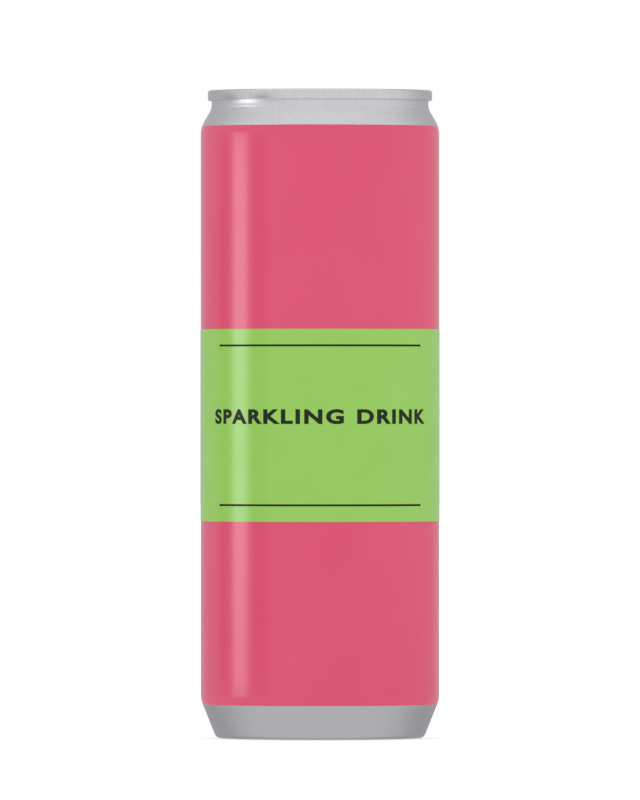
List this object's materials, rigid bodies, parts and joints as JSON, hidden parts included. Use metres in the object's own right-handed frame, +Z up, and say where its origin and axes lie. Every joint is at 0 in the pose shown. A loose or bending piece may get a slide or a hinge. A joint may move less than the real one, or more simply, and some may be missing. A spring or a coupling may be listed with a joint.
{
  "type": "drinks can",
  "caption": "Slim aluminium drinks can with a necked top, domed base, seamed end, stay-on pull tab that pushes in a tear panel, and a wrap-round label band.",
  "frame": {"origin": "centre of the circle that the base stands on, on the surface under the can", "axes": "+Z up the can's axis; -Y to the front, where the label's lettering and the mouth are; +X to the right seen from the front"},
  "size_m": [0.0578, 0.0578, 0.1556],
  "materials": {
    "lacquered_body": "pink gloss lacquer printed on drawn aluminium, bare at the neck and the base",
    "end_sheet": "rolled sheet with a clear lacquer",
    "tab_sheet": "bright rolled sheet",
    "sealing_compound": "matt",
    "label_film": "satin green self-adhesive film",
    "drink": "clear pink liquid"
  },
  "bodies": {
    "can": {"can_body": "lacquered_body", "can_end": "end_sheet", "seam_compound": "sealing_compound", "tab_rivet_tongue": "tab_sheet", "wrap_label": "label_film", "drink": "drink"},
    "tab": {"pull_tab": "tab_sheet"},
    "panel": {"tear_panel": "end_sheet"}
  },
  "joints": [
    {"name": "tab_lift", "type": "hinge", "parent": "can", "child": "tab", "pos_m": [0, -0.0042, 0.15135], "axis": [1, 0, 0], "range_deg": [0, 80]},
    {"name": "tear_panel_opening", "type": "hinge", "parent": "can", "child": "panel", "pos_m": [0, -0.00385, 0.151], "axis": [1, 0, 0], "range_deg": [0, 80], "deforming": ["drink"]}
  ],
  "couplings": [
    {"joint": "tear_panel_opening", "follows": "tab_lift", "ratio": 1}
  ]
}
